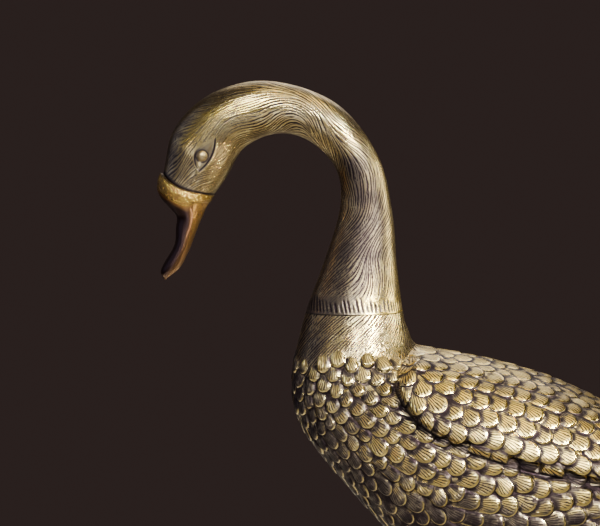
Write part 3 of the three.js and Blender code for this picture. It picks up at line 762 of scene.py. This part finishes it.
def wing_edges(along):
    """Angles of the upper edge of the wing and of the tips along its lower edge, in degrees."""
    sweep = 1 - 0.39 * np.maximum(1 - along / 0.3, 0) ** 2.8
    upper = 21 + 26 * ramp(0.6, 1, along)
    lower = 21 + 51.5 * sweep - 3 * ramp(0.35, 0.65, along) - 12 * ramp(0.75, 1, along)
    return upper, lower + WING_SKIRT * (1 - 0.4 * ramp(0.3, 0.6, along))


def add_wings():
    step = np.linspace(0, 1, WING_ROWS)[:, None]
    along = 0.7 * step + 0.3 * step ** 2
    across = np.linspace(0, 1, WING_COLUMNS)[None, :]
    us = WING_FRONT + (WING_TIP - WING_FRONT) * along
    top, bottom = wing_edges(along)
    angles = np.radians(top + (bottom - top) * across)
    ends = 0.45 + 0.55 * ramp(0, 0.12, along) - 0.35 * ramp(0.6, 1, along)
    edges = 0.25 + 0.75 * ramp(0, 0.6, across) - 0.3 * ramp(0.88, 1, across)
    edges = edges - 0.22 * ramp(0.3, 0.5, along) * ramp(0.7, 1, across)
    thickness = WING_THICKNESS * ends * edges
    points, normals, flip = goose.grid(us, angles, WING_SEAT_GAP + thickness)
    distance = steps(points, 0)
    span = steps(points, 1)
    width = span[:, -1:]
    lie = directions(points)
    flight = ramp(0.62, 1, along)
    turn = np.radians(18 * ramp(0, 0.3, across) * (1 - 0.6 * flight))
    lie = lie * np.cos(turn)[..., None] + np.cross(lie, normals) * np.sin(turn)[..., None]
    order = distance * np.cos(turn) + span * np.sin(turn)
    inner = (distance > 1) & (width - span > 0.3)
    feather_width = 9.4 + 1.5 * flight
    feather_pitch = 7.4 + 14 * flight
    plumage = Plumage(points, normals, lie, order, inner, feather_width, feather_pitch,
                      wild=0.6, seed=5, puff=0.32)

    # The rim is rounded, and the upper part of the front end runs out flush with the body.
    rim = np.minimum(np.minimum(span, width - span), distance[-1:] - distance)
    rounding = 2.2 * ramp(3.2, 0, rim) ** 2
    root = np.maximum(thickness - 0.2, 0) * ramp(15, 0, distance) ** 2
    rounding = np.maximum(rounding, root * (1 - 0.6 * ramp(0.5, 0.9, across)))
    to_body = thickness + WING_SEAT_GAP + 0.4
    rounding = rounding + (to_body - rounding) * ramp(2, 0, distance) * ramp(0.7, 0.45, across)

    lumps = 0.3 * wander(distance, span, 22, 8)
    relief, cover = plumage.heights()
    height = WING_RELIEF * relief - 0.7
    height = height * (0.35 + 0.65 * ramp(0.03, 0.3, across)) + lumps - rounding

    # Below the last feathers the edge of the wing falls away, so that their tips scallop it.
    fall = ramp(0.5, 0.05, cover) * ramp(4, 3, width - span) * ramp(3, 6, distance)
    height -= fall * (to_body - rounding)
    skin = padded(points)
    points = points + normals * height[..., None]
    # Painted shade darkens the lower edge of the wing and the edge where it falls away.
    groove_and_shade = np.maximum(0.5 * bell(width - span, 0.5), 0.45 * fall)
    # Here the shade values are negative and only make the metal paler: along the top, where the engraving
    # is worn faint, and near the front end.
    shade = -0.35 * ramp(0.18, 0.04, across)
    shade = shade - 0.3 * ramp(16, 6, distance) * ramp(0.8, 0.5, across)

    # All round, the edge of the wing ends inside the body.
    edge = border(span.shape)
    buried = goose.points(padded(us + 0 * span), padded(angles), -WING_BURIED)
    points = np.where(edge[..., None] > 0, buried, padded(points))
    faces = grid_faces(points, flip)
    # The lower part of the buried edge is painted dark as shade.
    groove_and_shade = np.maximum(padded(groove_and_shade), edge * padded(ramp(0.3, 0.6, across) + 0 * span))
    gilt_and_highlight = 0.8 * bell(across - 0.55, 0.45) * ramp(4, 20, distance)
    values = {"groove_and_shade": groove_and_shade, "shade": padded(shade), "gilt_and_highlight": padded(gilt_and_highlight)}
    add_pair("wing_{}_casting", "wing_{}", points, faces, values, plumage.corners(skin, faces))


# Neck and head
NECK_COLUMNS = 180
BAND = 9.5  # height of the chased band above the collar
EYE_PLACE = goose.points(EYES, EYE_ANGLE)[[0, 2]]


def eye_frame(points):
    """Where points lie about the eye: along its lids from -1 to 1, across them, and outside their line."""
    corner = np.array([-76.95, 268.25])
    tip = np.array([-68.83, 284.5])
    middle = (corner + tip) / 2
    half = np.linalg.norm(tip - corner) / 2
    axis = (tip - corner) / (2 * half)
    flat = points[..., (0, 2)] - middle
    p = (flat @ axis) / half
    q = flat @ np.array([-axis[1], axis[0]])
    inner = np.clip(1 - p * p, 0, 1)
    front = np.maximum(5.0 * inner ** 1.05 * (1 - 0.42 * p), 0.05)
    rear = np.maximum(2.3 * inner ** 0.9, 0.05)
    outside = np.abs(q) - np.where(q > 0, front, rear)
    outside = np.where(np.abs(p) > 1, np.hypot(np.abs(q), (np.abs(p) - 1) * half), outside)
    return p, q, outside


def add_neck():
    first = goose.along(COLLAR, COLLAR_LINE + SEAM_LINE / 2)
    even = even_rows(goose, first, BILL_SEAM, math.pi / 2, lambda u: 0.42 - 0.06 * ramp(13.5, 14.5, u))
    run = ((even - first) / (BILL_SEAM - first))[:, None]
    angles = np.linspace(0, math.pi, NECK_COLUMNS)[None, :]
    last = goose.along(BILL_SEAM, seam_dip(angles))
    us = first + (last - first) * run
    points, normals, flip = goose.grid(us, angles)
    around = steps(points, 1)
    line = steps(goose.core(us[:, NECK_COLUMNS // 2]), 0)[:, None]
    along = np.broadcast_to(line, around.shape)
    degrees = np.degrees(angles) + 0 * us

    # Strands run down the neck in long waves, and fall away from its ridge to either side.
    head = ramp(14.2, 15.6, us)
    arch = ramp(11.3, 13.0, us)
    fall = (16 + 16 * arch + 28 * head) * ramp(80, 25, degrees)
    fall = fall + 30 * ramp(11.0, 9.5, us) * bell(degrees - 95, 34)
    cheek = 30 * ramp(15.2, 15.9, us) * ramp(60, 100, degrees)
    fall = fall + cheek * (1 - 0.6 * ramp(120, 165, degrees))
    waves = (40 - 24 * head) * wander(along * 0.55, around, 15, 31)
    pitch = 1.3 - 0.4 * head
    cuts = ramp(-0.2, 1.1, strands(points, around, waves - fall, pitch, length=18, seed=41))

    # The chased band: upright dashes just above the collar.
    dash = around / 2.35 + 0.25 * wander(0, around, 9, 12) + along * 0.03
    index = np.floor(dash)
    rng = np.random.default_rng(17)
    lengths = rng.uniform(0.6, 1.0, 64)[index.astype(int)] * BAND
    inks = rng.uniform(0.55, 1.0, 64)[index.astype(int)]
    inside_dash = np.abs(dash - index - 0.5)
    mark = ramp(0.34, 0.14, inside_dash) * ramp(0.4, 2.0, along)
    mark = mark * ramp(0.5, -2.0, along - lengths)
    in_band = ramp(BAND + 1.5, BAND - 2.5, along + 1.2 * wander(0, around, 7, 14))

    # The lids are drawn round the eye, with a crease ahead of their front corner.
    p, q, outside = eye_frame(points)
    cuts = cuts * (1 - 0.8 * in_band) * ramp(0.8, 2.0, outside)
    drawn = np.maximum(ramp(0.3, -0.3, q), 0.9 - 0.75 * ramp(-0.35, 0.25, p))
    lids = drawn * (0.15 * bell(outside - 0.6, 0.6) - 0.3 * bell(outside, 0.4))
    open_side = ramp(-0.3, 0.4, p) * ramp(-1.0, 1.0, q)
    socket = -0.35 * ramp(0.1, -1.6, outside) * (1 - 0.85 * open_side)
    crease = bell(np.where(p < -0.95, np.abs(q + 0.3 * (p + 1)), 9), 0.7) * ramp(-2.0, -1.7, p)

    height = -(0.13 - 0.05 * head) * cuts - 0.2 * mark * in_band + lids + socket + 0.3 * crease
    points = points + normals * height[..., None]
    points[..., 1] = np.minimum(points[..., 1], -0.03)

    lines = (0.95 - 0.35 * head) * cuts
    # Painted shade: a dark ring round the bead and darkness inside the lids, besides the engraved lid
    # line.
    bead = np.hypot(points[..., 0] - EYE_PLACE[0], points[..., 2] - EYE_PLACE[1]) - EYE_RADIUS
    ring = 0.65 * bell(bead - 0.3, 0.55) * (outside < 0)
    outline = np.maximum(drawn * bell(outside, 0.5), 0.26 * ramp(0, -1.2, outside))
    dashes = 0.85 * inks * mark * in_band
    ends = np.maximum(0.3 * bell(along, 0.35), 0.9 * bell(along[-1:] - along, 1.2))
    groove_and_shade = np.maximum.reduce([lines, dashes, outline, ring, ends])

    # A painted highlight lightens the brow. The upper head is darker, with clouds of staining over the
    # forehead.
    brow_highlight = bell(degrees - 58 - 25 * ramp(15.4, 14.2, us), 17)
    brow_highlight = brow_highlight * ramp(13.6, 14.6, us) * ramp(16.7, 16.0, us)
    clouds = 0.5 + 0.5 * wander(along, around, 12, 51)
    head_darkening = 0.09 * ramp(105, 75, degrees) + 0.14 * clouds * ramp(14.8, 16.2, us)
    # The chased band is darker, with painted shade growing towards its front.
    shade = head * head_darkening - 0.18 * brow_highlight + in_band * (0.08 + 0.27 * ramp(65, 115, degrees))
    # The sides of the neck are darker, less so near the band.
    sides = ramp(15, 75, degrees) * (1 - 0.7 * ramp(100, 150, degrees))
    sides = sides * (0.4 + 0.6 * ramp(9.3, 10.1, us))
    shade = shade + 0.4 * ramp(12.8, 11.5, us) * (1 - in_band) * sides
    # A painted highlight lightens a wedge inside the eye, near its lower corner.
    shade = shade - 0.5 * bell(q - 1.4, 0.8) * bell(p + 0.55, 0.3) * (outside < 0)
    points = hemmed(points, normals)
    faces = grid_faces(points, flip)
    # The brow highlight and the lit rear side of the lower neck are tinted gold as warm painted
    # highlights.
    gilt_and_highlight = 0.7 * brow_highlight + 0.5 * ramp(10.4, 9.5, us) * ramp(120, 80, degrees)
    values = all_padded({"groove_and_shade": groove_and_shade, "shade": shade, "gilt_and_highlight": gilt_and_highlight})
    add_pair("neck_{}_casting", "neck_{}_half", points, faces, values)


# Bill
def bill_station(along, top, bottom, width):
    lean = math.radians(BILL_LEAN)
    seam = goose.core(BILL_SEAM)
    middle = (top + bottom) / 2 * BILL_DEPTH
    x = seam[0] - math.cos(lean) * along * BILL_LENGTH + math.sin(lean) * middle
    z = seam[2] + math.sin(lean) * along * BILL_LENGTH + math.cos(lean) * middle
    return (x, z, BILL_LEAN, (top - bottom) * BILL_DEPTH, width * BILL_WIDTH)


def cuff_station():
    middle, up, half_depth, half_width = goose.section(BILL_SEAM)
    x = middle[0] - up[1] * SEAM_GAP + up[0] * CUFF / 2
    z = middle[1] + up[0] * SEAM_GAP + up[1] * CUFF / 2
    lean = math.degrees(math.atan2(up[0], up[1]))
    return (x, z, lean, 2 * half_depth + CUFF, 2 * (half_width + CUFF))


bill = Loft([
    cuff_station(),
    bill_station(0.113, 0.542, -0.447, 1.05),
    bill_station(0.206, 0.436, -0.407, 0.98),
    bill_station(0.285, 0.233, -0.385, 0.88),
    bill_station(0.35, 0.08, -0.364, 0.82),
    bill_station(0.474, 0.036, -0.335, 0.78),
    bill_station(0.64, -0.011, -0.298, 0.8),
    bill_station(0.86, 0.095, -0.207, 0.74),
    bill_station(0.957, 0.113, -0.087, 0.5),
    bill_station(1, 0.036, -0.022, 0.22),
])
BILL_PITCH = 0.26
BILL_COLUMNS = 90
TIP_ROUNDING = 0.8


def add_mandible(name, upper):
    even = even_rows(bill, 0, bill.last, math.pi / 2, lambda u: BILL_PITCH + 0 * u)
    run = (even / bill.last)[:, None]
    half_depth = bill.section(even)[2][:, None]
    line = MOUTH_HEIGHT - (0 if upper else MOUTH_LINE / half_depth)
    mouth = np.arccos(np.maximum(line, -0.8))
    share = np.linspace(0, 1, BILL_COLUMNS if upper else BILL_COLUMNS // 2)[None, :]
    angles = mouth * share if upper else mouth + (math.pi - mouth) * share
    start = bill.along(0, seam_dip(angles))
    us = start + (bill.last - start) * run
    points, normals, flip = bill.grid(us, angles)
    along = steps(points, 0)

    # The root is a bead, and the nostril is a slot in the upper bill.
    bead = 0.5 * bell(along - 2.6, 2.2)
    nostril = np.array([-79.95, 250.25])
    forward = np.array([-math.cos(math.radians(BILL_LEAN)), math.sin(math.radians(BILL_LEAN))])
    flat = points[..., (0, 2)] - nostril
    slot = bell(flat @ forward, 1.9) * bell(flat @ np.array([-forward[1], forward[0]]), 0.8)
    height = bead - (0.3 * slot if upper else 0)
    points = points + normals * height[..., None]
    points[..., 1] = np.minimum(points[..., 1], 0)
    near_mouth = np.abs(angles - mouth) * half_depth
    groove_and_shade = np.maximum(0.25 * bell(near_mouth, 0.3), 0.5 * slot if upper else 0 * slot)
    groove_and_shade = np.maximum(groove_and_shade, 0.9 * bell(along, 0.35))
    ridge = ramp(138, 86, np.degrees(angles) + 0 * along)
    root = bell(np.maximum(along - 3.4 - 3.6 * ridge, 0), 1.3)
    if not upper:
        root = np.maximum(root, 0.45 * ramp(34, 16, along))
    # A painted dark reflection lies along the top of the upper bill, fainter towards the tip.
    dark_reflection = (0.25 + 0.72 * ridge if upper else 0) * ramp(5 + 3 * ridge, 8 + 4 * ridge, along)
    dark_reflection = dark_reflection * (1 - 0.5 * ramp(0.85, 1, run))

    # A flat face at the mouth, a turned-in root and a rounded tip close the casting.
    face = points[:, -1:] if upper else points[:, :1]
    face = face * (1, 0, 1)
    points = np.concatenate([points, face] if upper else [face, points], axis=1)
    edge = ((0, 0), (0, 1) if upper else (1, 0))
    values = {
        "groove_and_shade": np.pad(groove_and_shade, edge, constant_values=1),
        "root": np.pad(root, edge),
        "dark_reflection": np.pad(dark_reflection, edge, mode="edge"),
    }
    ring = points[-1]
    middle = ring.mean(axis=0) * (1, 0, 1)
    ahead = np.array([forward[0], 0, forward[1]]) * TIP_ROUNDING
    caps = [middle + (ring - middle) * math.cos(t) + ahead * math.sin(t) for t in (0.5, 1.0, 1.35, 1.57)]
    inward = bill.core(0) + (points[0] - bill.core(0)) * 0.75
    points = np.concatenate([inward[None], points, np.array(caps)])
    values = all_padded(values, 1, len(caps), 0)
    faces = grid_faces(points, flip)
    add_whole(name + "_casting", name, points, faces, values, material=BILL)


# Eyes
def add_eyes():
    rim = EYE_SEAT - SEAM_GAP
    seat = goose.points(EYES, EYE_ANGLE) + (0, rim, 0)
    turns = np.linspace(0, 2 * math.pi, 49)[None, :]
    climb = np.linspace(0, math.pi / 2, 20)[:, None]
    radius = np.concatenate([[[EYE_RADIUS]], EYE_RADIUS * np.cos(climb)])
    height = np.concatenate([[[0.0]], rim + EYE_BULGE * np.sin(climb)])
    points = np.stack([
        seat[0] + radius * np.cos(turns),
        seat[1] - height + 0 * turns,
        seat[2] + radius * np.sin(turns),
    ], axis=-1)
    faces = grid_faces(points, outward(points, seat)[1])
    add_pair("eye_{}_bead", "eye_{}", points, faces, {}, material=EYE)


# Tail
def tail_station(along, depth, width):
    reach = SEAM_GAP + along * TAIL_LENGTH
    drop = math.radians(TAIL_DROP)
    lean = TAIL_DROP if along > 0 else 0
    x = tail_root[0] + reach * math.cos(drop)
    z = tail_root[1] - reach * math.sin(drop)
    return (x, z, lean, depth, width)


tail = Loft([
    tail_station(0, TAIL_ROOT_DEPTH, TAIL_ROOT_WIDTH),
    tail_station(0.3, 0.5 * TAIL_ROOT_DEPTH + 0.5 * TAIL_EDGE, 0.5 * TAIL_ROOT_WIDTH + 0.5 * TAIL_WIDTH),
    tail_station(0.66, 1.6 * TAIL_EDGE, TAIL_WIDTH),
    tail_station(0.9, TAIL_EDGE, 0.86 * TAIL_WIDTH),
    tail_station(1, 0.6 * TAIL_EDGE, 0.5 * TAIL_WIDTH),
])


def add_tail():
    us = np.linspace(0, tail.last, 110)[:, None]
    angles = np.linspace(0, math.pi, 121)[None, :]
    points, normals, flip = tail.grid(us, angles)
    along = steps(points, 0)
    plumage = Plumage(points, normals, directions(points), along, along > 1, width=8.0, pitch=11.0,
                      wild=0.6, seed=29)
    skin = points
    height = (plumage.heights()[0] - 0.35) * ramp(0, 0.06, np.sin(angles)) * ramp(0, 2, along)
    points = points + normals * height[..., None]
    points[:, (0, -1), 1] = 0
    inward = tail.core(0) + (points[0] - tail.core(0)) * 0.6
    middle = points[-1].mean(axis=0) * (1, 0, 1)
    halfway = middle + (points[-1] - middle) * 0.5
    points = np.concatenate([inward[None], points, halfway[None], 0 * points[:1] + middle])
    groove_and_shade = padded(0.8 * bell(along, 0.8), 1, 2, 0)
    skin = padded(skin, 1, 2, 0)
    faces = grid_faces(points, flip)
    corner_sets = plumage.corners(skin, faces)
    add_whole("tail_fan_casting", "tail_fan", points, faces, {"groove_and_shade": groove_and_shade}, corner_sets)


# Legs: the solids, softened, with scaled shanks and toes
def softened(node, voxel, rounds):
    """Points in millimetres and faces of a solid, remeshed evenly and smoothed."""
    copy = add_object("softened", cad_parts[node].data.copy())
    remesh = copy.modifiers.new("remesh", "REMESH")
    remesh.mode = "VOXEL"
    remesh.voxel_size = voxel / 1000
    soften = copy.modifiers.new("soften", "SMOOTH")
    soften.factor = 0.5
    soften.iterations = rounds
    shaped = copy.evaluated_get(bpy.context.evaluated_depsgraph_get())
    mesh = bpy.data.meshes.new_from_object(shaped)
    points = np.array([vertex.co for vertex in mesh.vertices]) * 1000 - (X_SHIFT, 0, 0)
    normals = np.array([vertex.normal for vertex in mesh.vertices])
    faces = np.array([tuple(face.vertices) for face in mesh.polygons])
    bpy.data.objects.remove(copy)
    bpy.data.meshes.remove(mesh)
    return points, normals, faces


SCUTE_PITCH = 3.4
RING_PITCH = 3.2


def add_leg(name, side):
    points, normals, faces = softened("leg_" + name, voxel=0.8, rounds=5)
    x = points[:, 0] - LEG_SETBACK
    y = points[:, 1] - side * LEG_SPACING / 2
    z = points[:, 2]
    reach = np.hypot(x, y)
    bearing = np.arctan2(y, -x) - side * math.radians(FOOT_TURN)
    thigh = ramp(24, 29, z)
    shank = ramp(8, 11, z) * (1 - thigh)
    foot = ramp(9, 6, z)
    spread = math.radians(TOE_SPREAD)
    off_toe = np.abs(bearing - spread * np.clip(np.round(bearing / spread), -1, 1)) * reach
    on_toe = foot * np.maximum(bell(off_toe, 4.2), bell(np.minimum(reach, 9), 7)) * ramp(6, 10, reach)
    scutes = np.abs(np.sin(math.pi * reach / SCUTE_PITCH))
    rings = np.abs(np.sin(math.pi * (z + 0.6 * np.cos(bearing)) / RING_PITCH))
    height = 0.38 * on_toe * (scutes - 0.6) + 0.32 * shank * (rings - 0.6)
    web = foot * (1 - on_toe) * ramp(10, 16, reach)
    ribs = np.abs(np.sin(9 * bearing))
    height += 0.15 * web * (ribs - 0.6)

    down = unit(np.array([0, 0, -1]) + normals * normals[:, 2:])
    plumage = Plumage(points, normals, down, -z, z > 25, width=5.0, pitch=4.6, wild=1.0, seed=37)
    height = height + thigh * (0.9 * plumage.heights()[0] - 0.4)
    skin = points
    sole = z < 0.4
    points = points + normals * np.where(sole, 0, height)[:, None]
    points[sole, 2] = 0
    dark = ramp(0.45, 0.0, scutes) * on_toe + ramp(0.45, 0.0, rings) * shank
    groove_and_shade = np.maximum(0.8 * dark, 0.5 * web * ramp(0.4, 0, ribs))
    measures, tones = plumage.corners(skin, faces)
    tones = tones * (thigh[faces] > 0.5)
    piece = mesh_object(f"leg_{name}_casting", points, faces, {"groove_and_shade": groove_and_shade}, (measures, tones))
    declare(piece, "leg_" + name)


add_body()
add_wings()
add_neck()
add_mandible("upper_bill", True)
add_mandible("lower_bill", False)
add_eyes()
add_tail()
for leg_name, leg_side in (("left", -1), ("right", 1)):
    add_leg(leg_name, leg_side)

# Pieces inside the goose keep their solids and get a finer metal
BRASS_INSIDE = ("neck_sleeve", "wing_rivet")
STEEL_INSIDE = ("leg_stud", "leg_washer", "leg_nut")
for node_name, node_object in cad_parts.items():
    for beginnings, metal in ((BRASS_INSIDE, PLAIN), (STEEL_INSIDE, STEEL)):
        if node_name.startswith(beginnings):
            node_object.data.materials.clear()
            node_object.data.materials.append(metal)


# Floor, light and camera
FLOOR_RADIUS = 0.46


def add_floor():
    mesh = bpy.data.meshes.new("floor")
    turns = np.linspace(0, 2 * math.pi, 96, endpoint=False)
    ring = FLOOR_RADIUS * np.stack([np.cos(turns), np.sin(turns), 0 * turns], axis=1)
    mesh.from_pydata(ring.tolist(), [], [tuple(range(len(ring)))])
    n = Nodes("pale_floor")
    pale = n.mix(n.noise(40.0, 3.0), (0.50, 0.48, 0.46, 1), (0.55, 0.53, 0.51, 1))
    n.put(n.shader.inputs["Base Color"], pale)
    n.shader.inputs["Roughness"].default_value = 0.8
    mesh.materials.append(n.material)
    add_object("floor", mesh)


def aim_at(thing, target, bearing, elevation, distance):
    """Set a lamp or camera at a distance. Bearing 0 is the photo's side, 90 the right of the picture."""
    bearing = math.radians(bearing)
    elevation = math.radians(elevation)
    level = math.cos(elevation)
    away = np.array([math.sin(bearing) * level, -math.cos(bearing) * level, math.sin(elevation)])
    thing.location = target + distance * away
    thing.rotation_euler = (math.pi / 2 - elevation, 0, bearing)


def add_light(name, bearing, elevation, distance, size, watts, colour, spread=180, aim=(-0.06, 0.17)):
    """A round lamp, aimed at a point of the middle plane."""
    lamp = bpy.data.lights.new(name, "AREA")
    lamp.shape = "DISK"
    lamp.size = size
    lamp.energy = watts
    lamp.color = colour
    lamp.spread = math.radians(spread)
    aim_at(add_object(name, lamp), np.array([aim[0], 0, aim[1]]), bearing, elevation, distance)


def add_world():
    world = bpy.data.worlds.new("dim_room")
    world.use_nodes = True
    back = world.node_tree.nodes["Background"]
    back.inputs["Color"].default_value = (0.030, 0.0198, 0.0182, 1)
    bpy.context.scene.world = world


# The middle of the photo falls on this point of the goose, and its frame is 0.3 m wide there.
TARGET = np.array([-0.1097, 0, 0.22175])
CAMERA_DISTANCE = 1.3
CAMERA_ELEVATION = 4.5
FRAME_WIDTH = 0.300
SENSOR_WIDTH = 36


def add_camera():
    lens = bpy.data.cameras.new("camera")
    lens.sensor_fit = "HORIZONTAL"
    lens.sensor_width = SENSOR_WIDTH
    lens.lens = SENSOR_WIDTH * CAMERA_DISTANCE / FRAME_WIDTH
    camera = add_object("camera", lens)
    aim_at(camera, TARGET, 0, CAMERA_ELEVATION, CAMERA_DISTANCE)
    bpy.context.scene.camera = camera


add_floor()
add_light("key", 35, 28, 1.1, 0.26, 0.70, (1.0, 0.98, 0.77), 16, (-0.06, 0.15))
add_light("front", -1, 29, 1.4, 0.75, 1.05, (0.99, 1.0, 0.92), 16, (-0.13, 0.30))
add_light("fill", -36, 4, 1.6, 0.7, 0.08, (1.0, 0.96, 0.94), 9, (-0.18, 0.29))
add_light("low", -4, -20, 1.6, 0.8, 2.6, (0.94, 0.96, 1.10))
add_light("cheek", 55, -20, 1.4, 0.25, 0.05, (1.0, 0.82, 0.58), 5, (-0.16, 0.34))
add_light("top", 40, 70, 1.2, 0.8, 5.6, (1.0, 0.86, 0.46))
add_light("back", 172, 45, 1.5, 1.2, 8.0, (1.0, 0.95, 0.90))
add_light("left", -86, 22, 1.6, 1.8, 1.7, (0.82, 0.90, 1.40))
add_light("right", 96, 14, 1.3, 0.6, 9.6, (1.0, 0.95, 0.64))
add_world()
add_camera()
